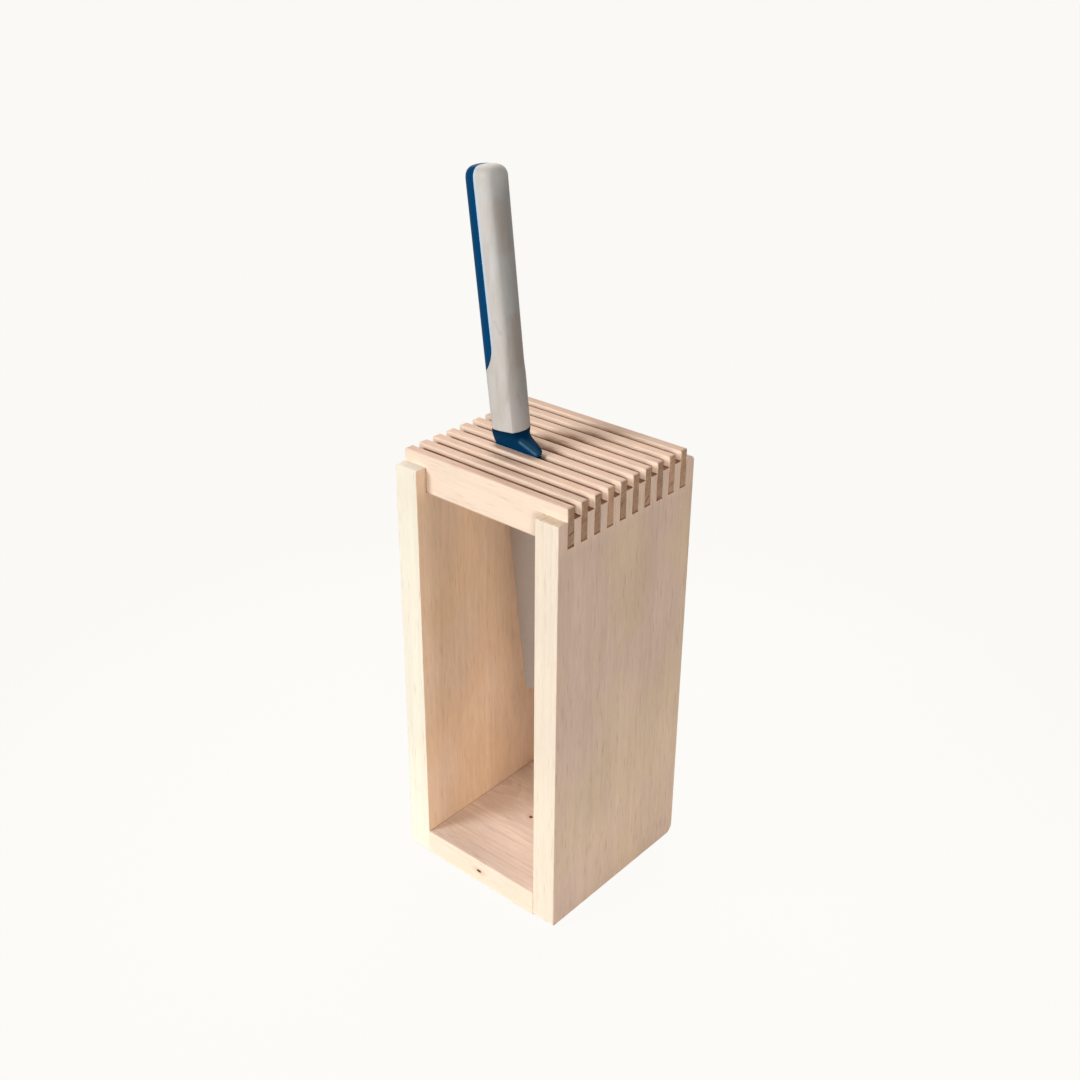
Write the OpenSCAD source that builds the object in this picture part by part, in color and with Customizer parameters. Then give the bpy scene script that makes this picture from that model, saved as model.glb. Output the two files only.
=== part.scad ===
// Tool storage caddy: an open wooden stand with a grid of slats on top,
// holding one knife by its blade between two of the slats.
// Origin: middle of the footprint, on the surface the caddy stands on.
// +X to the right of the open front, +Y to the back, +Z up.

/* [Caddy] */
// Width over both side panels
caddy_w = 100; // [90:1:150]
// Depth from the open front to the back
caddy_d = 100; // [94:1:150]
// Height of the side panels at the front
panel_h = 224; // [190:1:280]
// How much higher the side panels are at the back
panel_rise = 1.8; // [0:0.1:3]
// Thickness of a side panel
side_t = 13.5; // [11:0.5:18]
// Thickness of the bottom board
bottom_t = 14; // [11:0.5:20]
// Rounding of the boards' long edges
edge_ease = 0.5; // [0.2:0.1:1.2]
// Rounding of a side panel's two lower long edges
foot_ease = 1; // [0.2:0.1:2]
// Radius of a side panel's lower front corner
front_foot_r = 2; // [1:0.5:5]
// Radius of a side panel's upper front corner
front_top_r = 0.8; // [0.4:0.1:3]
// Radius of a side panel's lower back corner
back_foot_r = 6.5; // [2:0.5:10]
// Radius of a side panel's upper back corner
back_top_r = 4.5; // [1:0.5:5]

/* [Slats] */
// Thickness of a slat
slat_t = 4.7; // [4:0.1:5.2]
// Distance from the front edge to the first slat, and from the last slat to the back edge
slat_margin = 6.25; // [4:0.25:10]
// Height of a slat on edge
slat_h = 19.3; // [15:0.1:26]
// How far a slat stands above the side panels
slat_proud = 6.4; // [3:0.1:9]
// Rounding of a slat's upper front edge
slat_top_r = 1; // [0.4:0.1:1.6]
// Rounding of a slat's upper back edge
slat_back_r = 0.5; // [0.3:0.1:1.6]
// Rounding of a slat's two upper end edges
slat_end_r = 1.4; // [0.4:0.1:2.5]
// Rounding of a slat's four upright end edges
slat_side_r = 0.8; // [0.2:0.1:1.6]
// Rounding of a slat's two lower edges
slat_foot_r = 0.3; // [0.2:0.1:1]
// Glue gap round a slat in its notch
notch_clearance = 0.1; // [0.05:0.05:0.2]

/* [Dowels] */
// Diameter of the dowels that join bottom board and side panels
dowel_d = 6; // [5:1:8]
// Length of a dowel
dowel_l = 25; // [20:1:30]
// Depth of the dowel holes in the side panels
dowel_side_depth = 9.5; // [7:0.5:10]
// Distance of a dowel from the board's front or back edge
dowel_inset = 22; // [15:1:35]
// Radial clearance of a dowel in its holes
dowel_clearance = 0.05; // [0.03:0.01:0.1]
// Room for glue at each end of a dowel
dowel_end_gap = 0.5; // [0.3:0.1:1]
// Chamfer at the ends of a dowel
dowel_chamfer = 0.8; // [0.4:0.1:1.2]
// Radius of the glue flutes along a dowel
dowel_flute_r = 0.35; // [0.2:0.05:0.5]

/* [Knife in the stand] */
// Lean of the knife towards the left
knife_lean = 6.94; // [0:0.5:12]
// Distance of the knife's axis, at the bolster's rim, from the middle of the caddy
knife_x = -14; // [-18:0.5:-6]
// Number of the gap that holds the blade, counted from the front
knife_gap_number = 4; // [3:1:7]
// Clearance on each side of the bolster's neck between the slats
seat_clearance = 0.3; // [0.2:0.05:0.5]

/* [Handle] */
// Length of the grip from the bolster's rim to the butt
grip_l = 120.4; // [100:0.2:140]
// Distance from the knife's axis to the spine side of the handle, at the rim
rim_back = 9.4; // [8:0.1:11]
// Distance from the knife's axis to the finger side of the handle, at the rim
rim_front = 8.9; // [7.5:0.1:10]
// Thickness of the handle at the rim
rim_t = 12.9; // [11:0.1:16]
// Distance from the knife's axis to the spine side of the handle, at the butt
butt_back = 9.2; // [8:0.1:12]
// Distance from the knife's axis to the finger side of the handle, at the butt
butt_front = 9.1; // [8:0.1:11]
// Thickness of the handle at the butt
butt_t = 15.2; // [12:0.1:18]
// Bulge of the finger side between its two ridges
belly_depth = 2.2; // [1:0.1:3]
// Radius of the ridges where they are crisp, next to the bolster
ridge_r = 0.9; // [0.5:0.1:2]
// Radius of the ridges where they are soft, over the rest of the grip
soft_ridge_r = 4; // [2.5:0.1:5]
// Height above the rim where the ridges begin to soften
ridge_soften_from = 22; // [8:1:25]
// Height above the rim where the ridges are fully soft
ridge_soften_to = 34; // [26:1:60]
// Height of the rounding at the butt
butt_round = 6; // [4:0.5:8]
// Distance of the seam between grip and back shell from the knife's axis, towards the spine
seam_offset = 1; // [0.5:0.1:3]
// Height of the back shell's lower end above the rim
shell_start = 27.5; // [24:0.1:36]
// Height over which the back shell's lower end curves out to the spine side
shell_curve_h = 12.3; // [8:0.1:18]
// Depth of the groove along the seam
seam_groove = 0.25; // [0.1:0.05:0.4]
// Chamfer at the grip's lower edge, where it meets the bolster
rim_chamfer = 0.25; // [0.1:0.05:0.5]

/* [Bolster] */
// Height of the bolster from the slat tops to its rim, on the knife's axis
bolster_h = 9.3; // [8:0.1:14]
// How far the bolster stands out behind the spine
bolster_overhang = 2.6; // [0.5:0.1:3.5]
// Reach of the finger guard from the knife's axis
guard_reach = 17.5; // [15:0.1:22]
// How far the guard's toe draws in again at its underside
toe_round = 0.8; // [0.3:0.1:1.5]
// Share of the bolster's height that goes down between the slats
neck_share = 0.25; // [0.15:0.05:0.5]

/* [Blade] */
// Length of the blade from the rim to its tip
blade_reach = 139.5; // [120:0.5:160]
// Thickness of the blade at the spine
blade_t = 1.8; // [1.4:0.1:2.4]
// Thickness of the blade just above its cutting edge
edge_t = 0.5; // [0.3:0.1:0.8]
// Distance from the knife's axis to the spine
spine_offset = 6.7; // [6:0.1:8]
// Distance from the knife's axis to the cutting edge at the heel
heel_offset = 16.4; // [13:0.1:16.6]
// Distance from the knife's axis to the cutting edge at the tip
tip_offset = 14.5; // [11:0.1:16]
// Radius of the spine's corner at the tip
tip_spine_r = 1.5; // [1:0.5:6]
// Radius of the cutting edge's corner at the tip
tip_edge_r = 7; // [4:0.5:9]
// Width of the ground bevel along the cutting edge
bevel_w = 1.2; // [0.6:0.1:2]
// Thickness left at the cutting edge itself
keen_t = 0.1; // [0.05:0.05:0.2]
// Drop of the blade's end towards the cutting edge, for each millimetre across
tip_slope = 0.02; // [0:0.01:0.3]
// Width of the tang
tang_w = 6; // [4:0.5:6.5]
// Wall between the tang and the seam
tang_wall = 1; // [0.6:0.1:2]
// Length of the tang above the rim
tang_l = 72; // [50:1:90]
// Clearance round the tang
tang_clearance = 0.1; // [0.05:0.05:0.2]

/* [Hidden] */
slat_count = 10;
function slat_name(n) = str("top_slat_", n < 10 ? "0" : "", n);

// Places of the boards and slats
inner_w = caddy_w - 2 * side_t;
slat_gap = (caddy_d - 2 * slat_margin - slat_count * slat_t) / (slat_count - 1);
slat_pitch = slat_t + slat_gap;
first_slat_y = -(slat_count - 1) * slat_pitch / 2;
slat_top_z = panel_h + slat_proud;
notch_depth = slat_h - slat_proud;
panel_tilt = atan(panel_rise / caddy_d);
dowel_flutes = 12;
function slat_y(n) = first_slat_y + (n - 1) * slat_pitch;
function gap_y(n) = slat_y(n) + slat_pitch / 2;

// Knife frame: origin at the middle of the bolster's rim, +Z up the grip, +X to the cutting edge
lean_slope = tan(knife_lean);
knife_rim_z = slat_top_z + bolster_h * cos(knife_lean);
neck_t = slat_gap - 2 * seat_clearance;
neck_end = 1 + neck_share;
tang_x = tang_wall - seam_offset;
butt_start = grip_l - butt_round;
shell_curve_end = shell_start + shell_curve_h;

// Powers of the curves that shape the handle
spine_power = 2.6;
neck_power = 8;
butt_power = 2.4;
shell_curve_power = 1.7;

// Shares of a size: of the butt's rounding that narrows the section, of the half thickness that
// a ridge's radius and the guard's bulge take, and of the depth to the spine of the closed seam
butt_narrowing = 0.9;
ridge_limit = 0.85;
guard_bulge = 0.9;
seam_closed = 0.9995;

// Shares of the bolster's height where the guard begins and is fully out, and where its toe turns in
guard_from = 0.25;
guard_to = 0.85;
toe_from = 0.88;

// Fineness of the curves
spine_steps = 12;
ridge_steps = 6;
belly_steps = 6;
bolster_steps = 20;
smooth = 48;

// Overlap of a cut with what it cuts, and the smallest step between two rings
overlap = 1;
hair = 0.02;

// ---------- Shapes ----------

function mix(a, b, t) = a + (b - a) * t;
function clamp01(t) = min(1, max(0, t));
function ease(t) = let (s = clamp01(t)) s * s * (3 - 2 * s);
function superellipse(t, n) = pow(1 - pow(t, n), 1 / n);
function steps(from, to, count) = [for (i = [0:count]) mix(from, to, i / count)];
function arc(centre, r, from, to, count) =
    [for (a = steps(from, to, count)) centre + r * [cos(a), sin(a)]];
function tail(list) = [for (i = [1:len(list) - 1]) list[i]];

// Whole outline from its upper half, which runs from +X round to -X
function closed_outline(upper) =
    concat(upper, [for (i = [len(upper) - 1:-1:0]) if (upper[i][1] > 0) [upper[i][0], -upper[i][1]]]);
function at_height(outline, z) = [for (p = outline) [p[0], p[1], z]];

function same_radii(r) = [r, r, r, r];

// Rectangle with its own radius at each corner: lower left, lower right, upper right, upper left
module rounded_rect(size, radii)
    difference() {
        square(size);
        for (i = [0:3])
            translate([i == 1 || i == 2 ? size[0] : 0, i > 1 ? size[1] : 0]) rotate(90 * i)
                difference() {
                    translate([-overlap, -overlap]) square(radii[i] + overlap);
                    translate([radii[i], radii[i]]) circle(r = radii[i], $fn = smooth);
                }
    }

// What is cut off to round a corner; the outward normals of the edges there are start and end degrees
module corner_waste(centre, r, start, end)
    translate(centre) difference() {
        polygon((r + overlap) * [
            [0, 0], [cos(start), sin(start)], 2 * [cos((start + end) / 2), sin((start + end) / 2)],
            [cos(end), sin(end)]
        ]);
        circle(r = r, $fn = smooth);
    }

// Board whose outline has rounded corners seen from the end, from the front and from above
module eased_board(size, end_radii, front_radii, top_radii)
    intersection() {
        rotate([90, 0, 90]) linear_extrude(size[0]) rounded_rect([size[1], size[2]], end_radii);
        translate([0, size[1], 0]) rotate([90, 0, 0])
            linear_extrude(size[1]) rounded_rect([size[0], size[2]], front_radii);
        linear_extrude(size[2]) rounded_rect([size[0], size[1]], top_radii);
    }

// Solid through rings with as many points each, counter-clockwise seen from above, lowest first
module loft(rings) {
    n = len(rings[0]);
    last = len(rings) - 1;
    walls = [for (r = [0:last - 1], i = [0:n - 1])
        let (a = r * n + i, b = r * n + (i + 1) % n) each [[a, a + n, b], [b, a + n, b + n]]];
    lower_cap = [for (i = [0:n - 1]) i];
    upper_cap = [for (i = [n - 1:-1:0]) last * n + i];
    polyhedron(points = [for (ring = rings) each ring], faces = concat([lower_cap], walls, [upper_cap]));
}

// ---------- Caddy ----------

// Pair of blind dowel holes drilled into +X from the face at x = 0
module dowel_holes(depth)
    for (end = [-1, 1])
        translate([-overlap, end * (caddy_d / 2 - dowel_inset), bottom_t / 2]) rotate([0, 90, 0])
            cylinder(d = dowel_d + 2 * dowel_clearance, h = depth + dowel_end_gap + overlap, $fn = smooth);

// Row of notches that take the ends of the slats
module slat_notches()
    for (n = [1:slat_count])
        translate([-overlap, slat_y(n) - slat_t / 2 - notch_clearance, panel_h - notch_depth])
            cube([side_t + 2 * overlap, slat_t + 2 * notch_clearance, notch_depth + panel_rise + overlap]);

// Side panel seen from the side, with its lower front corner at the origin
module panel_outline() {
    slope = panel_rise / caddy_d;
    back_y = caddy_d - back_top_r;
    difference() {
        polygon([[0, 0], [caddy_d, 0], [caddy_d, panel_h + panel_rise], [0, panel_h]]);
        corner_waste([front_foot_r, front_foot_r], front_foot_r, 180, 270);
        corner_waste([caddy_d - back_foot_r, back_foot_r], back_foot_r, 270, 360);
        corner_waste(
            [back_y, panel_h + slope * back_y - back_top_r / cos(panel_tilt)], back_top_r, 0, 90 + panel_tilt
        );
        corner_waste(
            [front_top_r, panel_h + slope * front_top_r - front_top_r / cos(panel_tilt)],
            front_top_r, 90 + panel_tilt, 180
        );
    }
}

// Bar along +Y with eased edges, whose upper side is at z = 0 and whose lower side is out of the way
module eased_bar(length)
    translate([0, length, -panel_h - 10 * overlap]) rotate([90, 0, 0]) linear_extrude(length)
        rounded_rect([side_t, panel_h + 10 * overlap], same_radii(edge_ease));

// Side panel with its inner face at x = 0
module side_panel() {
    clear_h = panel_h + panel_rise + 2 * overlap;
    difference() {
        translate([0, -caddy_d / 2, 0]) intersection() {
            rotate([90, 0, 90]) linear_extrude(side_t) panel_outline();
            translate([0, caddy_d, 0]) rotate([90, 0, 0])
                linear_extrude(caddy_d)
                    rounded_rect([side_t, clear_h], [foot_ease, foot_ease, edge_ease, edge_ease]);
            linear_extrude(clear_h) rounded_rect([side_t, caddy_d], same_radii(edge_ease));
            translate([0, 0, panel_h]) rotate([panel_tilt, 0, 0])
                translate([0, -10 * overlap, 0]) eased_bar(caddy_d + 20 * overlap);
        }
        slat_notches();
        dowel_holes(dowel_side_depth);
    }
}

module right_side_panel()
    color("burlywood") translate([inner_w / 2, 0, 0]) side_panel();

module left_side_panel()
    color("burlywood") mirror([1, 0, 0]) translate([inner_w / 2, 0, 0]) side_panel();

module bottom_board()
    color("wheat") difference() {
        translate([-inner_w / 2, -caddy_d / 2, 0]) rotate([90, 0, 90])
            linear_extrude(inner_w) rounded_rect([caddy_d, bottom_t], same_radii(edge_ease));
        for (side = [0, 1])
            mirror([side, 0, 0]) translate([-inner_w / 2, 0, 0]) dowel_holes(dowel_l - dowel_side_depth);
    }

// Slat on edge, counted from the front, with both ends flush with the side panels
module top_slat(n) {
    long_edges = [slat_foot_r, slat_foot_r, slat_back_r, slat_top_r];
    end_edges = [slat_foot_r, slat_foot_r, slat_end_r, slat_end_r];
    color("burlywood") translate([-caddy_w / 2, slat_y(n) - slat_t / 2, slat_top_z - slat_h])
        eased_board([caddy_w, slat_t, slat_h], long_edges, end_edges, same_radii(slat_side_r));
}

// Fluted dowel pin across the joint on one side (-1 left, 1 right) at one end (-1 front, 1 back)
module dowel(side, end) {
    outline = [
        [0, 0], [dowel_d / 2 - dowel_chamfer, 0], [dowel_d / 2, dowel_chamfer],
        [dowel_d / 2, dowel_l - dowel_chamfer], [dowel_d / 2 - dowel_chamfer, dowel_l], [0, dowel_l]
    ];
    inner_end = inner_w / 2 + dowel_side_depth - dowel_l;
    color("tan") translate([side * inner_end, end * (caddy_d / 2 - dowel_inset), bottom_t / 2])
        rotate([0, side * 90, 0]) difference() {
            rotate_extrude($fn = smooth) polygon(outline);
            for (i = [0:dowel_flutes - 1])
                rotate(360 * i / dowel_flutes) translate([dowel_d / 2, 0, -overlap])
                    cylinder(r = dowel_flute_r, h = dowel_l + 2 * overlap, $fn = 16);
        }
}

// ---------- Handle ----------

module in_stand()
    translate([knife_x, gap_y(knife_gap_number), knife_rim_z]) rotate([0, -knife_lean, 0]) children();

// Spine side of a section: a superellipse of power n, by its angle from 90 at x = 0 to 180 at the spine
function spine_angle(back, n, x) = acos(-pow(clamp01(-x / back), n / 2));
function spine_point(back, half_t, n, a) =
    [-back * pow(-cos(a), 2 / n), half_t * pow(sin(a), 2 / n)];
function spine_curve(back, half_t, n, from_x, to_x) =
    [for (a = steps(spine_angle(back, n, from_x), spine_angle(back, n, to_x), spine_steps))
        spine_point(back, half_t, n, a)];

// Finger side of a section: half of the bulging belly, the ridge of radius r, and the cheek's start
function finger_curve(front, half_t, bulge, r) =
    let (
        belly_r = (half_t * half_t + bulge * bulge) / (2 * bulge),
        ridge_y = half_t - r,
        ridge_x = front - belly_r + sqrt(pow(belly_r - r, 2) - ridge_y * ridge_y),
        meet = asin(ridge_y / (belly_r - r))
    ) concat(
        arc([front - belly_r, 0], belly_r, 0, meet, belly_steps),
        tail(arc([ridge_x, ridge_y], r, meet, 90, ridge_steps))
    );
function belly_for(half_t) = belly_depth * half_t / (rim_t / 2);

// Sizes of the grip's section at height z above the rim, drawn in at the butt and at the rim's chamfer
function share(z) = clamp01(z / grip_l);
function butt_share(z) = clamp01((z - butt_start) / butt_round);
function inset_at(z) = butt_narrowing * butt_round * (1 - superellipse(butt_share(z), butt_power))
    + max(0, rim_chamfer - z);
function back_at(z) = mix(rim_back, butt_back, share(z)) - inset_at(z);
function front_at(z) = mix(rim_front, butt_front, share(z)) - inset_at(z);
function half_t_at(z) = mix(rim_t, butt_t, share(z)) / 2 - inset_at(z);
function ridge_at(z) = min(
    mix(ridge_r, soft_ridge_r, ease((z - ridge_soften_from) / (ridge_soften_to - ridge_soften_from))),
    ridge_limit * half_t_at(z)
);

// Place of the seam at height z: at the spine below the back shell, then curving in to its plane
function seam_at(z) = mix(
    -seam_closed * back_at(z), -seam_offset,
    superellipse(clamp01((shell_curve_end - z) / shell_curve_h), shell_curve_power)
);
function groove_at(z) = z < shell_start ? hair : seam_groove;
function seam_edge(z) =
    let (a = spine_angle(back_at(z), spine_power, seam_at(z)))
    spine_point(back_at(z), half_t_at(z), spine_power, a) - [0, groove_at(z)];
function cheek_curve(z, from_x, to_x) = spine_curve(back_at(z), half_t_at(z), spine_power, from_x, to_x);

function grip_ring(z) = at_height(closed_outline(concat(
    finger_curve(front_at(z), half_t_at(z), belly_for(half_t_at(z)), ridge_at(z)),
    cheek_curve(z, 0, seam_at(z) + groove_at(z)),
    [seam_edge(z)]
)), z);

function shell_ring(z) = at_height(closed_outline(concat(
    [seam_edge(z)],
    cheek_curve(z, seam_at(z) - groove_at(z), -back_at(z))
)), z);

// Heights of the rings: below the back shell, along its curved end, up the straight part, and the butt
lower_heights = concat(
    [0, rim_chamfer], steps(ridge_soften_from / 2, shell_start - hair, 6)
);
curve_heights = [for (s = steps(0, 1, 9)) mix(shell_start + 4 * hair, shell_curve_end, s * s)];
upper_heights = concat(
    tail(steps(shell_curve_end, butt_start, 5)),
    [for (a = tail(steps(0, 90, 8))) butt_start + butt_round * sin(a)]
);

// Slot for the tang, from height z up
module tang_slot(z)
    translate([tang_x - tang_clearance, -blade_t / 2 - tang_clearance, z])
        cube([tang_w + 2 * tang_clearance, blade_t + 2 * tang_clearance, tang_l + tang_clearance - z]);

module knife_grip()
    color("lightgray") in_stand() difference() {
        loft([for (z = concat(lower_heights, curve_heights, upper_heights)) grip_ring(z)]);
        tang_slot(-overlap);
    }

module knife_back_shell()
    color("midnightblue") in_stand() loft([for (z = concat(curve_heights, upper_heights)) shell_ring(z)]);

// ---------- Bolster ----------

// Depth below the rim at x, as a share u of the way to the slat tops, which stay level while the knife leans
function bolster_z(x, u) = -u * (bolster_h + x * lean_slope);

// Share of the guard that is out at share u, and how far its toe has turned in
function guard_share(u) = ease((u - guard_from) / (guard_to - guard_from));
function toe_in(u) = toe_round * (1 - superellipse(clamp01((u - toe_from) / (1 - toe_from)), 2));

// Ring at share u: from the handle's section at the rim to a thin neck with the finger guard
function bolster_ring(u) =
    let (
        s = min(u, 1),
        back = mix(rim_back, spine_offset + bolster_overhang, s),
        front = mix(rim_front, guard_reach, guard_share(u)) - toe_in(u),
        half_t = mix(rim_t, neck_t, s) / 2,
        bulge = mix(belly_for(half_t), guard_bulge * half_t, guard_share(u)),
        n = mix(spine_power, neck_power, s),
        upper = concat(
            finger_curve(front, half_t, bulge, min(ridge_r, ridge_limit * half_t)),
            spine_curve(back, half_t, n, 0, -back)
        )
    ) [for (p = closed_outline(upper)) [p[0], p[1], bolster_z(p[0], u)]];

module knife_bolster()
    color("midnightblue") in_stand() difference() {
        loft([for (u = concat([neck_end], steps(1, 0, bolster_steps))) bolster_ring(u)]);
        tang_slot(-blade_reach);
    }

// ---------- Blade ----------

tip_angle = atan(tip_slope);
function tip_z(x) = -blade_reach - tip_slope * (x + spine_offset);
function shoulder(x) = [x, bolster_z(x, neck_end)];
function tip_corner(x, r, from, to) = arc([x, tip_z(x) + r / cos(tip_angle)], r, from, to, 10);

module blade_outline()
    polygon(concat(
        [shoulder(-spine_offset)],
        tip_corner(tip_spine_r - spine_offset, tip_spine_r, 180, 270 - tip_angle),
        tip_corner(tip_offset - tip_edge_r, tip_edge_r, 270 - tip_angle, 360),
        [shoulder(heel_offset), shoulder(tang_x + tang_w)],
        arc([tang_x + tang_w / 2, tang_l - tang_w / 2], tang_w / 2, 0, 180, 16),
        [shoulder(tang_x)]
    ));

// Flat grind: a long wedge along the cutting edge, with a steeper bevel at the edge itself
module blade_grind() {
    heel = shoulder(heel_offset);
    edge_angle = atan((heel_offset - tip_offset) / (blade_reach + heel[1]));
    wedge_w = heel_offset + spine_offset;
    reach = 2 * (blade_reach + tang_l);
    half_section = [[0, keen_t / 2], [-bevel_w, edge_t / 2], [-wedge_w, blade_t / 2], [-2 * wedge_w, blade_t / 2]];
    translate([heel[0], 0, heel[1]]) rotate([0, edge_angle, 0])
        linear_extrude(reach, center = true) polygon(closed_outline(half_section));
}

module knife_blade()
    color("silver") in_stand() intersection() {
        rotate([90, 0, 0]) linear_extrude(2 * blade_t, center = true) blade_outline();
        blade_grind();
    }

// ---------- Nodes ----------

left_side_panel();
right_side_panel();
bottom_board();
for (n = [1:slat_count])
    top_slat(n);
dowel(-1, -1);  // dowel_left_front
dowel(-1, 1);  // dowel_left_back
dowel(1, -1);  // dowel_right_front
dowel(1, 1);  // dowel_right_back
knife_blade();
knife_bolster();
knife_grip();
knife_back_shell();
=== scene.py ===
"""Looks of a small wooden tool caddy with a slatted top and one knife in it.

Lengths are in metres unless a name ends in _mm. Patterns are reckoned in millimetres.
"""

import math

import bpy
from mathutils import Matrix, Vector


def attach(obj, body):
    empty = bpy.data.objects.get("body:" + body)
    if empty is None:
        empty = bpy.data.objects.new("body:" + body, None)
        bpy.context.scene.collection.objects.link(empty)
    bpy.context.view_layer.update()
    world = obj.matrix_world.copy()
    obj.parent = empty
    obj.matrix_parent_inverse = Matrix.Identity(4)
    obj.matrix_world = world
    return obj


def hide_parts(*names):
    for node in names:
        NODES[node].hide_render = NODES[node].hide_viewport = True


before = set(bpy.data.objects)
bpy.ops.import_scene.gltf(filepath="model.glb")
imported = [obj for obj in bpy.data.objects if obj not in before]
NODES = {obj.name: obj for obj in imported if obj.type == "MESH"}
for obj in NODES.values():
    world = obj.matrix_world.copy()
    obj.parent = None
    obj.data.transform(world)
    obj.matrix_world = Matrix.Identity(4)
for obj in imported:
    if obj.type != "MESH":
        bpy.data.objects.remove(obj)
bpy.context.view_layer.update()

MM = 0.001

# The caddy's front, the inner and outer faces of its panels, and the ends of their combs, in
# millimetres from the middle of its footprint
FRONT_Y = -50.0
INSIDE_X = 36.5
OUTSIDE_X = 50.0
COMB_Y = 43.2

# The slats' upper and lower edges, the way from one to the next, and their thickness
SLAT_TOP_Z = 230.4
SLAT_FOOT_Z = 211.1
SLAT_PITCH = 9.2
SLAT_T = 4.7

# How the knife stands: its lean in degrees, and the middle of its bolster's rim in millimetres
KNIFE_LEAN = 6.94
KNIFE_X = -14.0
KNIFE_RIM_Z = 239.63


def tone(red, green, blue):
    """A colour written as screen values from 0 to 255, as linear light."""
    shares = [value / 255 for value in (red, green, blue)]
    linear = [s / 12.92 if s <= 0.04045 else ((s + 0.055) / 1.055) ** 2.4 for s in shares]
    return (*linear, 1.0)


# --- Writing materials -------------------------------------------------------


class Signal:
    """One output of a node. Python's operators on it add Math nodes."""

    def __init__(self, finish, socket):
        self.finish = finish
        self.socket = socket

    def part(self, name):
        """Another output of the same node."""
        return Signal(self.finish, self.socket.node.outputs[name])

    def reckon(self, operation, *values):
        settings = {"operation": operation}
        return self.finish.node("ShaderNodeMath", settings, dict(enumerate(values)))

    def __add__(self, other):
        return self.reckon("ADD", self, other)

    def __radd__(self, other):
        return self.reckon("ADD", other, self)

    def __sub__(self, other):
        return self.reckon("SUBTRACT", self, other)

    def __rsub__(self, other):
        return self.reckon("SUBTRACT", other, self)

    def __mul__(self, other):
        return self.reckon("MULTIPLY", self, other)

    def __rmul__(self, other):
        return self.reckon("MULTIPLY", other, self)

    def __truediv__(self, other):
        return self.reckon("DIVIDE", self, other)

    def __rtruediv__(self, other):
        return self.reckon("DIVIDE", other, self)

    def __abs__(self):
        return self.reckon("ABSOLUTE", self)

    def power(self, exponent):
        return self.reckon("POWER", self, exponent)

    def fraction(self):
        return self.reckon("FRACT", self)

    def above(self, start, end):
        """0 below start, 1 above end, and a smooth step between them."""
        settings = {"interpolation_type": "SMOOTHSTEP"}
        values = {"Value": self, "From Min": start, "From Max": end}
        return self.finish.node("ShaderNodeMapRange", settings, values)


class Finish:
    """A material or the light of a room, written node by node."""

    def __init__(self, made):
        self.made = made
        made.use_nodes = True
        self.tree = made.node_tree
        self.tree.nodes.clear()

    def node(self, kind, settings=None, values=None):
        """Adds a node, sets it up, fills its sockets and returns its first output in use."""
        made = self.tree.nodes.new(kind)
        for name, setting in (settings or {}).items():
            setattr(made, name, setting)
        for name, value in (values or {}).items():
            socket = made.inputs[name]
            if isinstance(value, Signal):
                self.tree.links.new(value.socket, socket)
            else:
                socket.default_value = value
        outputs = [socket for socket in made.outputs if socket.enabled]
        return Signal(self, outputs[0]) if outputs else None

    def axes_mm(self):
        """The three coordinates of a point of the piece, in millimetres."""
        place = self.node("ShaderNodeTexCoord").part("Object")
        split = self.node("ShaderNodeSeparateXYZ", None, {"Vector": place})
        return [split.part(axis) / MM for axis in "XYZ"]

    def facing(self):
        """The three coordinates of the surface's normal, on the piece itself."""
        normal = self.node("ShaderNodeTexCoord").part("Normal")
        split = self.node("ShaderNodeSeparateXYZ", None, {"Vector": normal})
        return [split.part(axis) for axis in "XYZ"]

    def join(self, x, y, z):
        return self.node("ShaderNodeCombineXYZ", None, {"X": x, "Y": y, "Z": z})

    def noise(self, vector, scale=1.0, detail=2.0, roughness=0.5):
        values = {"Vector": vector, "Scale": scale, "Detail": detail, "Roughness": roughness}
        return self.node("ShaderNodeTexNoise", None, values)

    def cells(self, vector):
        """How far a place is from the nearest of many scattered points."""
        return self.node("ShaderNodeTexVoronoi", None, {"Vector": vector, "Scale": 1.0})

    def blend(self, share, first, second):
        """A mix of two colours."""
        mixed = self.node("ShaderNodeMix", {"data_type": "RGBA"}, {"Factor": share})
        mix = mixed.socket.node
        for index, value in ((6, first), (7, second)):
            if isinstance(value, Signal):
                self.tree.links.new(value.socket, mix.inputs[index])
            else:
                mix.inputs[index].default_value = value
        return Signal(self, mix.outputs[2])

    def shade(self, colour, amount):
        """A colour made lighter or darker by a number."""
        settings = {"operation": "SCALE"}
        colour = colour if isinstance(colour, Signal) else colour[:3]
        return self.node("ShaderNodeVectorMath", settings, {"Vector": colour, "Scale": amount})

    def bump(self, height_mm):
        values = {"Strength": 1.0, "Distance": MM, "Height": height_mm}
        return self.node("ShaderNodeBump", None, values)

    def surface(self, values):
        shader = self.node("ShaderNodeBsdfPrincipled", None, values)
        self.node("ShaderNodeOutputMaterial", None, {"Surface": shader})
        return self.made


# --- Finishes ----------------------------------------------------------------


def stroke(axes, start, end, width):
    """A mask that is 1 along a straight stroke and 0 beyond half its width, in millimetres."""
    length = math.dist(start, end)
    way = [(last - first) / length for first, last in zip(start, end)]
    offsets = [axis - first for axis, first in zip(axes, start)]
    along = sum(offset * step for offset, step in zip(offsets, way))
    apart = sum(offset * offset for offset in offsets) - along * along
    beyond = (abs(along - length / 2) - length / 2).above(0.0, width) * width
    return 1 - (apart + beyond * beyond).power(0.5).above(width * 0.15, width * 0.5)


DASH_TONE = tone(176, 128, 92)
SAW_MARK_TONE = tone(84, 54, 38)
# Dark brown for glue lines, and for the painted shade in gaps, on the fingers' tops and at the
# panels' foot
STAIN_AND_SHADE_TONE = tone(146, 82, 50)
KNOT_TONE = tone(58, 32, 24)
KNOT_RIM_TONE = tone(228, 170, 140)


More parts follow.
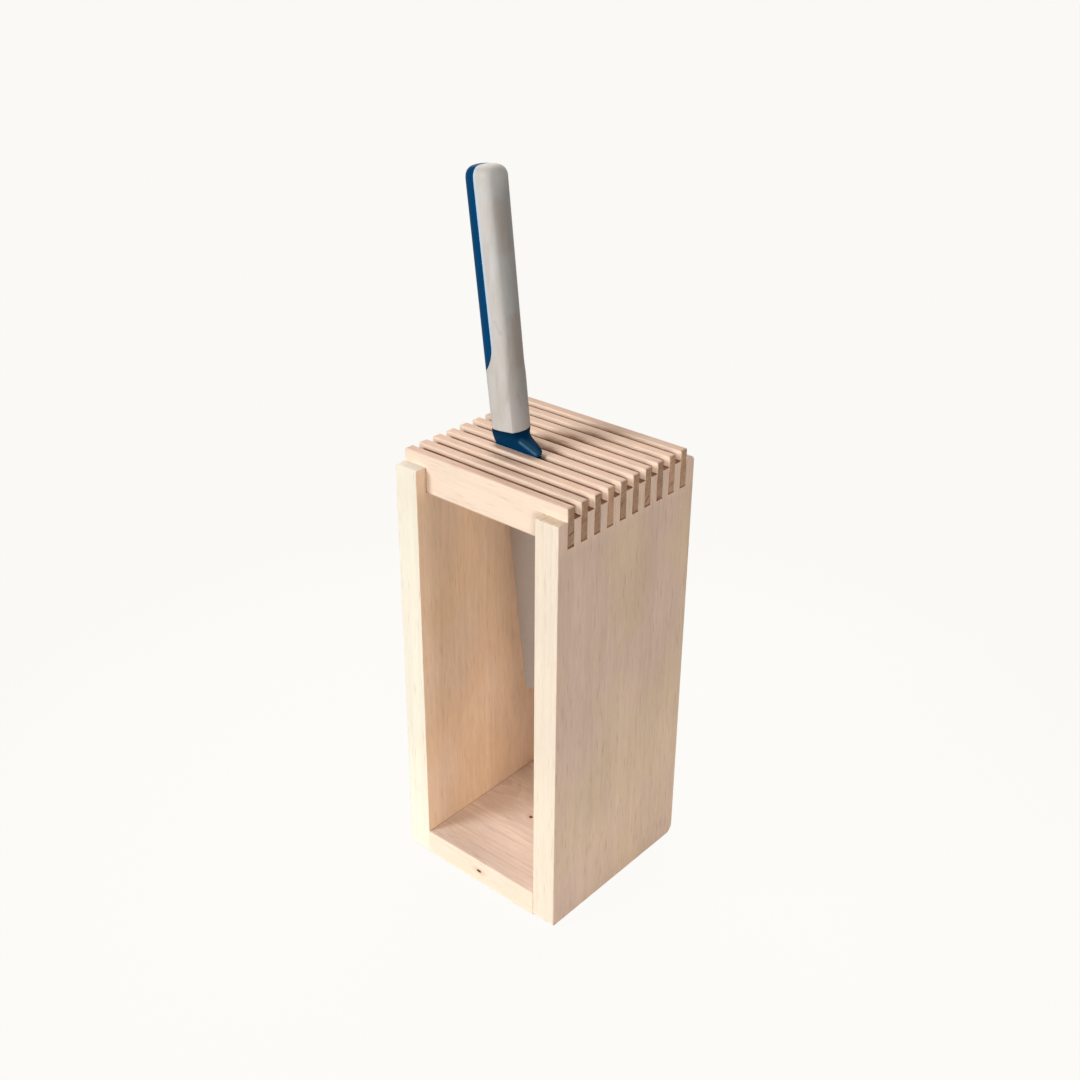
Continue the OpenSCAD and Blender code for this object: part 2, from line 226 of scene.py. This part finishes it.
def knots_in(axes, knots, ring_mm):
    """How far knots push the grain aside, and masks of their dark hearts and warm rims."""
    push, heart, rim = 0.0, 0.0, 0.0
    for place, size in knots:
        away = [(axis - middle) / radius for axis, middle, radius in zip(axes, place, size)]
        reach = away[0] * away[0] + away[1] * away[1] + away[2] * away[2]
        heart = 1 - reach.above(0.3, 1.0) + heart
        rim = 1 - reach.above(0.6, 9.0) + rim
        push = (1 - reach.above(0.0, 24.0)) * (1.6 * ring_mm) + push
    return push, heart, rim


def growth_rings(wood, ways, heart, ring_mm, wavy, seed, push):
    """The tree's rings: the distance from its middle, the sway of the grain, and the dark rings."""
    along, across, deep = ways

    # The grain leans and wanders slowly along the board.
    slow = wood.join(across * 0.012, deep * 0.012 + seed, along * 0.006)
    quick = wood.join(across * 0.05 + seed, deep * 0.05, along * 0.035)
    sway = (wood.noise(slow) - 0.5) * (16 * wavy) + (wood.noise(quick) - 0.5) * (5 * wavy)
    side_way = across - heart[0] + sway
    deep_way = deep - heart[1] + sway * 0.6
    distance = (side_way * side_way + deep_way * deep_way).power(0.5) + push

    # No two rings are equally wide or dark, and each grows darker outwards and then ends sharply.
    width = wood.noise(wood.join(distance * 0.16, seed, 0.0))
    turn = (distance / ring_mm + width * 5.0).fraction()
    strong = wood.noise(wood.join(distance * 0.11, seed + 5, along * 0.004), detail=1.0)
    dark = turn.above(0.15, 0.85) * (1 - turn.above(0.85, 1.0))
    return distance, sway, dark * (strong.above(0.3, 0.7) * 0.8 + 0.2)


def bare_wood(
    name,
    grain,
    heart,
    tones,
    ring_mm=2.6,
    seed=0.0,
    wavy=1.0,
    knots=(),
    marks=(),
    darkening=None,
    figure=0.13,
    coarse=1.0,
    painted_light=0.0,
    combed=0.0,
):
    """Sanded, unfinished pale wood.

    grain is the axis that the board was sawn along, and heart is how far the tree's middle
    lies from the piece across the grain, both ways, in millimetres. tones holds a colour, its
    darker ring and its warmer patches for the wide faces, the front and back edges, and the
    sawn ends. Each knot is a middle and three radii. Each mark is a dark stroke, from one
    (y, z) to another, on the sawn end at +X. darkening gives, from the places and facing, where
    glue left it dark and where shade is painted into its gaps, notches and foot.

    ring_mm is the width of a growth ring, and wavy how much the grain wanders. figure is how
    dark the rings of the wide faces are, and coarse how uneven the sawn ends are. painted_light
    is how much paler a wide face is next to the front, painted light where light falls in
    through the open front, and combed how much paler it is between the slats.
    """
    wood = Finish(bpy.data.materials.new(name))
    x, y, z = wood.axes_mm()
    along, across, deep = {"X": (x, y, z), "Z": (z, x, y)}[grain]
    faces = wood.facing()
    end_face = abs(faces["XYZ".index(grain)]).above(0.55, 0.85)
    edge_face = abs(faces[1]).above(0.5, 0.9)

    push, knot, knot_rim = knots_in((x, y, z), knots, ring_mm)
    ways = (along, across, deep)
    distance, sway, late = growth_rings(wood, ways, heart, ring_mm, wavy, seed, push)

    # Fibres, seen as fine streaks on the long faces, with short darker dashes between them
    lane = distance * 0.5 + sway * 0.2
    streak = wood.noise(wood.join(lane, across * 0.3, along * 0.009 + seed), 1.0, 4.0, 0.65)
    fibre = wood.noise(wood.join(across * 0.6, deep * 0.6, along * 0.07 + seed), 1.0, 6.0, 0.8)
    hair = wood.noise(wood.join(across * 2.8, deep * 2.8 + seed, along * 0.16), 1.0, 3.0, 0.7)
    dash = wood.cells(wood.join(across * 0.6, deep * 0.6, along * 0.05 + seed))
    dash = 1 - dash.above(0.08, 0.26)

    # Clouds of lighter, darker and warmer wood
    cloud = wood.noise(wood.join(across * 0.035, deep * 0.035, along * 0.016 + seed), 1.0, 3.0)
    warm = wood.noise(wood.join(across * 0.03 + 7, deep * 0.03, along * 0.016 + seed))

    wide_tone = wood.blend(late * figure, tones["wide"], tones["wide ring"])
    wide_tone = wood.blend(warm.above(0.36, 0.66) * 0.7, wide_tone, tones["wide warm"])
    # The front and back faces take paler, creamier tones than the wide faces: painted light
    # standing in for brightly lit fronts.
    edge_tone = wood.blend(late * 0.12, tones["edge"], tones["edge ring"])
    edge_tone = wood.blend(warm.above(0.5, 0.75) * 0.4, edge_tone, tones["edge warm"])
    long_face = wood.blend(edge_face, wide_tone, edge_tone)
    long_face = wood.blend(dash * (0.22 - edge_face * 0.08), long_face, DASH_TONE)
    uneven = (streak - 0.5) * 0.3 + (fibre - 0.5) * 0.38 + (hair - 0.5) * 0.24
    uneven = uneven + (cloud - 0.5) * 0.36 - dash * 0.05
    lightness = 1 + uneven * (1 - edge_face * 0.45)
    # Painted light: the wide faces grow paler towards the open front, where more light falls in.
    if painted_light:
        near_front = 1 - (y - FRONT_Y).above(2.0, 16.0)
        lightness = lightness + near_front * (1 - edge_face) * painted_light
    if combed:
        between_slats = z.above(SLAT_FOOT_Z - 5.1, SLAT_FOOT_Z + 2.9)
        lightness = lightness + between_slats * (1 - edge_face) * combed
    long_face = wood.shade(long_face, lightness)

    # Open pores and blotchy rings where the boards were sawn across
    pore = wood.cells(wood.join(across * 2.2, deep * 2.2, along * 0.3 + seed))
    pore = 1 - pore.above(0.12, 0.3)
    saw = wood.noise(wood.join(across * 0.9, deep * 0.32, seed), 1.0, 4.0, 0.7)
    blotch = wood.noise(wood.join(across * 0.22, deep * 0.22, seed + 3))
    cut_face = wood.blend(late * 0.5, tones["end"], tones["end ring"])
    cut_face = wood.blend(blotch.above(0.45, 0.7) * 0.5, cut_face, tones["end warm"])
    uneven_cut = (saw - 0.5) * 0.6 + (blotch - 0.5) * 0.3 - pore * 0.2
    cut_face = wood.shade(cut_face, 1 + uneven_cut * coarse)
    for start, end in marks:
        dark = stroke((y, z), start, end, 1.1) * faces[0].above(0.5, 0.9)
        cut_face = wood.blend(dark * 0.8, cut_face, SAW_MARK_TONE)

    colour = wood.blend(end_face, long_face, cut_face)
    # Glue lines and painted shade, in one dark brown, broken up by the fibres
    if darkening:
        stained_and_shaded = (darkening((x, y, z), faces) * (0.75 + (fibre - 0.5) * 0.9)).above(0.0, 1.0)
        colour = wood.blend(stained_and_shaded, colour, STAIN_AND_SHADE_TONE)
    height = (fibre - 0.5) * 0.06 + (hair - 0.5) * 0.03 + (streak - 0.5) * 0.05 - dash * 0.02
    height = height + end_face * ((saw - 0.5) * 0.08 - pore * 0.05)
    rough = 0.6 + (fibre - 0.5) * 0.2 + end_face * 0.1
    if knots:
        colour = wood.blend(knot_rim * 0.4, colour, KNOT_RIM_TONE)
        colour = wood.blend(knot, colour, KNOT_TONE)
        rough = rough - knot * 0.15
    return wood.surface(
        {
            "Base Color": colour,
            "Roughness": rough,
            "Specular IOR Level": 0.25,
            "Normal": wood.bump(height),
        }
    )


def knife_ways(x, z):
    """How far a place is towards the knife's cutting edge and above its bolster, in millimetres."""
    lean = math.radians(KNIFE_LEAN)
    aside, above = x - KNIFE_X, z - KNIFE_RIM_Z
    forward = aside * math.cos(lean) + above * math.sin(lean)
    return forward, above * math.cos(lean) - aside * math.sin(lean)


# Finger marks on the grip: from, to, how wide, how strong and their colour
SMUDGES = (
    ((-17.1, -16.2, 291.6), (-14.4, -15.8, 287.4), 3.0, 0.26, tone(160, 150, 140)),
    ((-17.6, -10.4, 341.0), (-15.9, -9.8, 327.0), 13.0, 0.3, tone(178, 156, 140)),
    ((-11.2, -9.0, 291.0), (-9.4, -8.2, 275.0), 12.0, 0.4, tone(184, 160, 142)),
    ((-14.0, -16.0, 281.0), (-11.0, -14.0, 272.0), 9.0, 0.25, tone(186, 178, 160)),
)


def rubbery_grey():
    """Matt, slightly soft moulded plastic with the faint marks of use."""
    grip = Finish(bpy.data.materials.new("grey grip plastic"))
    x, y, z = grip.axes_mm()
    skin = grip.noise(grip.join(x, y, z), 2.6, 3.0, 0.6)
    patch = grip.noise(grip.join(x * 0.14, y * 0.14, z * 0.05), 1.0, 3.0, 0.6)
    warmth = grip.noise(grip.join(x * 0.1 + 4, y * 0.1, z * 0.03), 1.0, 1.0)
    smear = grip.noise(grip.join(x * 0.3 + 9, y * 0.3, z * 0.05), 1.0, 2.0)
    worn = patch.above(0.4, 0.7)
    grime = smear.above(0.48, 0.75)
    low = 1 - z.above(236.0, 330.0)
    colour = grip.blend(worn * 0.6, tone(205, 203, 201), tone(190, 185, 176))
    colour = grip.blend(warmth.above(0.4, 0.65) * 0.25, colour, tone(208, 196, 190))
    colour = grip.blend(grime * (low * 0.4 + 0.1) + low * 0.14, colour, tone(166, 156, 142))

    for start, end, width, strength, darkening in SMUDGES:
        mark = stroke((x, y, z), start, end, width) * (0.4 + smear * 1.2)
        colour = grip.blend(mark * strength, colour, darkening)

    # Painted shade darkens the side towards the cutting edge, most towards its back; a painted
    # bluish-white highlight lies along the seam.
    forward, height = knife_ways(x, z)
    belly_shade = forward.above(4.0, 11.0) * (height.above(0.0, 18.0) * 0.3 + 0.7)
    belly_shade = belly_shade * (y.above(-15.5, -4.0) * 0.75 + 0.5)
    belly_shade = belly_shade * (1 - height.above(106.0, 118.0))
    colour = grip.shade(colour, 1.035 + (skin - 0.5) * 0.08 - belly_shade * 0.4)
    seam_highlight = (1 - forward.above(-0.3, 1.0)) * height.above(34.0, 44.0)
    colour = grip.blend(seam_highlight * 0.9, colour, tone(190, 212, 234))
    return grip.surface(
        {
            "Base Color": colour,
            "Roughness": 0.56 + (skin - 0.5) * 0.16 - worn * 0.05,
            "Specular IOR Level": 0.35,
            "Normal": grip.bump((skin - 0.5) * 0.03),
        }
    )


def glossy_blue():
    """Hard moulded plastic, a little scuffed."""
    hard = Finish(bpy.data.materials.new("blue hard plastic"))
    x, y, z = hard.axes_mm()
    skin = hard.noise(hard.join(x, y, z), 1.7, 3.0, 0.6)
    scuff = hard.noise(hard.join(x * 2.4, y * 2.4, z * 0.35), 1.0, 4.0, 0.7)
    patch = hard.noise(hard.join(x * 0.2, y * 0.2, z * 0.1), 1.0, 2.0)
    scratched = scuff.above(0.58, 0.8)
    colour = hard.blend(patch, tone(4, 58, 96), tone(8, 72, 120))
    colour = hard.blend(scratched * 0.1, colour, tone(70, 110, 150))

    # The bolster is a darker, greener blue, with painted shade under its rim and a painted
    # highlight along its ridge to the toe.
    height = knife_ways(x, z)[1]
    bolster = 1 - height.above(0.0, 1.0)
    shade_under_rim = bolster * height.above(-4.5, -0.5)
    colour = hard.blend(bolster * (0.9 - patch * 0.3), colour, tone(0, 51, 84))
    colour = hard.shade(colour, 1 - shade_under_rim * 0.35)
    # A faint painted sheen over the toe and a narrow painted highlight on the ridge, both broken up
    # by scuffs
    painted_light = stroke((x, y, z), (-3.4, -12.6, 236.0), (3.2, -11.0, 232.4), 6.0)
    colour = hard.blend(painted_light * (0.16 + (scuff - 0.5) * 0.3), colour, tone(90, 134, 160))
    ridge = stroke((x, y, z), (-4.4, -13.5, 235.9), (3.2, -11.6, 231.7), 2.0)
    colour = hard.blend(ridge * (0.32 + (scuff - 0.5) * 0.7), colour, tone(110, 150, 178))
    return hard.surface(
        {
            "Base Color": colour,
            "Roughness": 0.36 + (skin - 0.5) * 0.12 + scratched * 0.12,
            "Specular IOR Level": 0.01,
            "Normal": hard.bump((skin - 0.5) * 0.02 - scratched * 0.01),
        }
    )


def satin_steel():
    """Ground steel, with fine scratches across the blade."""
    steel = Finish(bpy.data.materials.new("satin steel"))
    x, y, z = steel.axes_mm()
    grind = steel.noise(steel.join(x * 0.12, y, z * 1.8), 1.0, 5.0, 0.75)
    cloud = steel.noise(steel.join(x * 0.05, y, z * 0.03), 1.0, 2.0)
    # The grey steel's colour is warmed towards the brown wood that the blade reflects, a painted
    # reflection.
    colour = steel.shade(tone(163, 149, 139), 1 + (grind - 0.5) * 0.34 + (cloud - 0.5) * 0.2)
    return steel.surface(
        {
            "Base Color": colour,
            "Metallic": 1.0,
            "Roughness": 0.34 + (grind - 0.5) * 0.24,
            "Normal": steel.bump((grind - 0.5) * 0.012),
        }
    )


def dress(piece, material):
    """Gives the whole of a piece one material."""
    if not piece.material_slots:
        piece.data.materials.append(material)
    for place in piece.material_slots:
        place.material = material


def stepped(colour, amount):
    """A colour made lighter or darker as a whole."""
    return (*(min(1.0, part * amount) for part in colour[:3]), 1.0)


PANEL = {
    "wide": tone(243, 213, 193),
    "wide ring": tone(214, 176, 148),
    "wide warm": tone(242, 214, 181),
    "edge": tone(246, 232, 213),
    "edge ring": tone(234, 208, 178),
    "edge warm": tone(246, 229, 203),
    "end": tone(247, 230, 209),
    "end ring": tone(216, 188, 158),
    "end warm": tone(232, 208, 174),
}
# The left board's wood with painted light: darker, warmer wide faces as painted shade on its inner
# face, and a paler front and top as painted highlight.
LEFT_PANEL_LIT_AND_SHADED = {
    **PANEL,
    "wide": tone(217, 192, 168),
    "wide ring": tone(190, 154, 122),
    "wide warm": tone(215, 185, 152),
    "edge": tone(247, 241, 224),
    "end": tone(254, 250, 240),
    "end ring": tone(246, 230, 212),
    "end warm": tone(250, 238, 216),
}
FLOOR = {
    **PANEL,
    "wide": tone(250, 232, 220),
    "wide ring": tone(200, 158, 130),
    "wide warm": tone(246, 222, 204),
    "end": tone(222, 186, 154),
}
SLAT = {
    "wide": tone(241, 208, 188),
    "wide ring": tone(206, 158, 134),
    "wide warm": tone(240, 203, 178),
    "edge": tone(246, 224, 204),
    "edge ring": tone(234, 202, 176),
    "edge warm": tone(248, 224, 202),
    "end": tone(196, 158, 130),
    "end ring": tone(140, 100, 76),
    "end warm": tone(178, 146, 114),
}
# How light each slat's sawn end is beside the others, from the front slat to the back one
END_LIGHTNESS = (0.97, 1.02, 1.0, 1.34, 1.04, 1.04, 1.12, 1.02, 1.38, 1.18)

# How light the long faces of a slat are beside the others', where it differs
TOP_LIGHTNESS = {2: 0.98, 8: 0.96, 10: 0.84}

# Two small knots of the bottom board: one in its front edge, one in its upper face
KNOTS = (((-0.5, -50.0, 7.4), (2.0, 1.7, 1.0)), ((-3.8, -5.4, 14.0), (1.3, 1.1, 1.0)))

# Dark strokes on the sawn ends of some slats, by slat number
MARKS = {
    1: (((-42.6, 217.6), (-39.3, 218.6)), ((-43.4, 211.4), (-39.9, 212.2))),
    5: (((-5.9, 218.6), (-5.6, 219.7)),),
    7: (((12.6, 214.0), (14.2, 216.1)),),
    8: (((21.6, 212.3), (22.8, 213.0)),),
}


def notch_shade(places, faces):
    """Painted shade on the fingers' tops between the slats, and a painted line of shade at the
    foot.
    """
    between = 1 - abs(places[1]).above(COMB_Y - 0.7, COMB_Y)
    foot = 1 - places[2].above(0.3, 1.3)
    return faces[2].above(0.3, 0.8) * between + foot * 0.4


def floor_stain(places, faces):
    """Glue along the sides of the bottom board."""
    beside = abs(places[0]).above(INSIDE_X - 0.9, INSIDE_X - 0.1)
    return faces[2].above(0.3, 0.8) * beside * 0.6


def gap_shade_and_glue(number):
    """Painted shade in the gaps beside a slat, and glue round its ends where they sit in the
    notches.
    """
    middle = (number - 5.5) * SLAT_PITCH
    foremost, hindmost = number == 1, number == 10

    def darkening(places, faces):
        x, y, z = places
        below = SLAT_TOP_Z - z
        # Painted shade on the faces that look into the gaps, from about 2 mm below the slats' tops
        deep = below.above(1.8, 2.5) * (1 - below.above(6.0, 12.0))
        sides = faces[1] if foremost else 0 - faces[1] if hindmost else abs(faces[1])
        well_inside = 1 - abs(x).above(OUTSIDE_X - 4.5, OUTSIDE_X - 2.0)
        gap_shade = sides.above(0.5, 0.9) * deep * well_inside * 0.95

        side_lines = abs(y - middle).above(SLAT_T / 2 - 0.8, SLAT_T / 2 - 0.2)
        side_lines = side_lines * (1 - z.above(SLAT_FOOT_Z + 9.9, SLAT_FOOT_Z + 13.9))
        foot_line = (SLAT_FOOT_Z + 1.3 - z).above(0.0, 0.9)
        outline = (side_lines + foot_line) * abs(x).above(OUTSIDE_X - 1.6, OUTSIDE_X - 0.6)
        if not foremost:
            return gap_shade + outline

        # The first slat shows a thin line of shade and glue at its left end and along its foot.
        front = (0 - faces[1]).above(0.5, 0.9)
        aside = x + INSIDE_X
        corner = (1 - aside.above(0.2, 1.1)) * 0.6 + (1 - aside.above(0.4, 3.5)) * 0.12
        corner = corner * (aside + 0.3).above(0.0, 0.3) * (1 - z.above(223.6, 224.2))
        return gap_shade + outline + front * (corner + (SLAT_FOOT_Z + 1.1 - z).above(0.0, 0.9) * 0.5)

    return darkening


left_wood = bare_wood(
    "left side board",
    "Z",
    (-70, 30),
    LEFT_PANEL_LIT_AND_SHADED,
    seed=3.0,
    darkening=notch_shade,
    figure=0.05,
    coarse=0.35,
    painted_light=0.22,
)
right_wood = bare_wood(
    "right side board",
    "Z",
    (120, -65),
    PANEL,
    seed=11.0,
    darkening=notch_shade,
    figure=0.05,
    coarse=0.6,
    combed=0.09,
)
floor_wood = bare_wood(
    "bottom board",
    "X",
    (10, -60),
    FLOOR,
    ring_mm=2.4,
    seed=5.0,
    wavy=2.6,
    knots=KNOTS,
    darkening=floor_stain,
    figure=0.36,
)
dress(NODES["left_side_panel"], left_wood)
dress(NODES["right_side_panel"], right_wood)
dress(NODES["bottom_board"], floor_wood)
for number, lightness in enumerate(END_LIGHTNESS, start=1):
    ends = {part: stepped(SLAT[part], lightness) for part in ("end", "end ring", "end warm")}
    tops = {
        part: stepped(SLAT[part], TOP_LIGHTNESS.get(number, 1.0))
        for part in ("wide", "wide ring", "wide warm")
    }
    heart = (40 + 7 * number, -50 + 11 * (number % 4))
    slat = bare_wood(
        f"slat {number:02d}",
        "X",
        heart,
        {**SLAT, **tops, **ends},
        ring_mm=1.9,
        seed=number * 7.3,
        marks=MARKS.get(number, ()),
        darkening=gap_shade_and_glue(number),
        coarse=1.5,
    )
    dress(NODES[f"top_slat_{number:02d}"], slat)
for side in ("left", "right"):
    for end in ("front", "back"):
        dowel = bare_wood(f"dowel {side} {end}", "X", (9, 6), PANEL, 1.2, seed=len(side + end))
        dress(NODES[f"dowel_{side}_{end}"], dowel)


# --- Handle ------------------------------------------------------------------


# Edges up to this many degrees look round, and points this close, in metres, are one point.
CREASE = 32
WELD = 0.000002


def smooth_copy(node, name, material):
    """A copy of a moulded piece with its facets blended, which then stands for that piece."""
    bpy.ops.object.select_all(action="DESELECT")
    piece = bpy.data.objects.new(name, NODES[node].data.copy())
    bpy.context.scene.collection.objects.link(piece)
    bpy.context.view_layer.objects.active = piece
    piece.select_set(True)
    bpy.ops.mesh.customdata_custom_splitnormals_clear()
    bpy.ops.object.mode_set(mode="EDIT")
    bpy.ops.mesh.select_all(action="SELECT")
    bpy.ops.mesh.remove_doubles(threshold=WELD)
    bpy.ops.object.mode_set(mode="OBJECT")
    bpy.ops.object.shade_smooth_by_angle(angle=math.radians(CREASE))
    dress(piece, material)
    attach(piece, "knife")
    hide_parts(node)
    return piece


GREY = rubbery_grey()
BLUE = glossy_blue()
dress(NODES["knife_blade"], satin_steel())
smooth_copy("knife_grip", "handle_grip", GREY)
smooth_copy("knife_back_shell", "handle_back", BLUE)
smooth_copy("knife_bolster", "handle_bolster", BLUE)


# --- Camera, floor and light -------------------------------------------------


# The camera: where it points, how far it stands from there, how it is turned about the caddy,
# raised and rolled, in degrees, and its lens in millimetres
CAMERA_AIM = (0.3038512, -0.3574442, 0.4250139)
CAMERA_REACH = 0.1435568
CAMERA_ANGLES = (40.6824, 27.4175, 0.4239)
CAMERA_LENS = 46.177


def set_camera():
    turn, rise, roll = (math.radians(angle) for angle in CAMERA_ANGLES)
    back = Vector(
        (math.sin(turn) * math.cos(rise), -math.cos(turn) * math.cos(rise), math.sin(rise))
    )
    side = (-back).cross(Vector((0, 0, 1))).normalized()
    up = side.cross(-back)
    rolled_side = math.cos(roll) * side + math.sin(roll) * up
    rolled_up = math.cos(roll) * up - math.sin(roll) * side
    lens = bpy.data.cameras.new("camera")
    lens.lens = CAMERA_LENS
    lens.sensor_width = 36
    lens.clip_start = 0.01
    lens.clip_end = 100
    camera = bpy.data.objects.new("camera", lens)
    stand = Vector(CAMERA_AIM) + back * CAMERA_REACH
    pointing = Matrix((rolled_side, rolled_up, back)).transposed().to_4x4()
    camera.matrix_world = Matrix.Translation(stand) @ pointing
    bpy.context.scene.collection.objects.link(camera)
    bpy.context.scene.camera = camera


# The floor's colour to the eye, how much shadow shows on it, and the colours whose light it
# gives, up to the near reach and beyond the far reach, in millimetres from the middle
PAPER = (0.995, 0.985, 0.955, 1.0)
FLOOR_SHADOW = 0.04
NEAR_FLOOR = (0.75, 0.745, 0.73, 1.0)
NEAR_REACH = 60.0
FAR_FLOOR = (0.08, 0.08, 0.08, 1.0)
FAR_REACH = 420.0

# The backdrop's colour to the eye, the room's own light, and where the lamps stand and point
BACKDROP = (0.965, 0.956, 0.925, 1.0)
ROOM_TONE = (1.0, 0.985, 0.965, 1.0)
ROOM_LIGHT = 0.04
LAMP_REACH = 2.2
LAMP_AIM = (0, 0, 0.15)


def seen_by_eye(finish):
    """1 where the eye sees the surface, also in metal or through glass, and 0 for its light."""
    path = finish.node("ShaderNodeLightPath")
    rays = ("Is Camera Ray", "Is Glossy Ray", "Is Transmission Ray")
    return sum(path.part(ray) for ray in rays).above(0.0, 1.0)


def lay_floor():
    bpy.ops.object.select_all(action="DESELECT")
    bpy.ops.mesh.primitive_circle_add(vertices=96, radius=14, fill_type="NGON", location=(0, 0, 0))
    floor = bpy.context.object
    floor.name = "floor"
    finish = Finish(bpy.data.materials.new("pale floor"))
    x, y, z = finish.axes_mm()
    far = (x * x + y * y).above(NEAR_REACH * NEAR_REACH, FAR_REACH * FAR_REACH)
    white = finish.blend(far, NEAR_FLOOR, FAR_FLOOR)
    matt = finish.node("ShaderNodeBsdfDiffuse", None, {"Color": white})
    glow = finish.node("ShaderNodeEmission", None, {"Color": PAPER, "Strength": 1.0})
    share = seen_by_eye(finish) * (1 - FLOOR_SHADOW)
    both = finish.node("ShaderNodeMixShader", None, {0: share, 1: matt, 2: glow})
    finish.node("ShaderNodeOutputMaterial", None, {"Surface": both})
    dress(floor, finish.made)


def light_room():
    room = Finish(bpy.data.worlds.new("room"))
    bpy.context.scene.world = room.made
    soft = room.node("ShaderNodeBackground", None, {"Color": ROOM_TONE, "Strength": ROOM_LIGHT})
    seen = room.node("ShaderNodeBackground", None, {"Color": BACKDROP})
    both = room.node("ShaderNodeMixShader", None, {0: seen_by_eye(room), 1: soft, 2: seen})
    room.node("ShaderNodeOutputWorld", None, {"Surface": both})

    hang_lamp("key", 28, 25, 0.9, 32.2)
    hang_lamp("fill", -47, 9, 0.9, 26.6, (1.0, 0.975, 0.945))
    hang_lamp("back", 140, 42, 2.4, 38.0, (1.0, 0.925, 0.83))


def hang_lamp(name, turn, rise, width, watts, colour=ROOM_TONE[:3]):
    """A round soft lamp, turned from the front to the left and raised, in degrees."""
    left, up = math.radians(turn), math.radians(rise)
    toward = Vector((-math.sin(left) * math.cos(up), -math.cos(left) * math.cos(up), math.sin(up)))
    data = bpy.data.lights.new(name, "AREA")
    data.shape = "DISK"
    data.size = width
    data.energy = watts
    data.color = colour
    lamp = bpy.data.objects.new(name, data)
    lamp.location = Vector(LAMP_AIM) + toward * LAMP_REACH
    lamp.rotation_euler = (-toward).to_track_quat("-Z", "Y").to_euler()
    bpy.context.scene.collection.objects.link(lamp)


set_camera()
lay_floor()
light_room()
bpy.context.scene.view_settings.view_transform = "Standard"
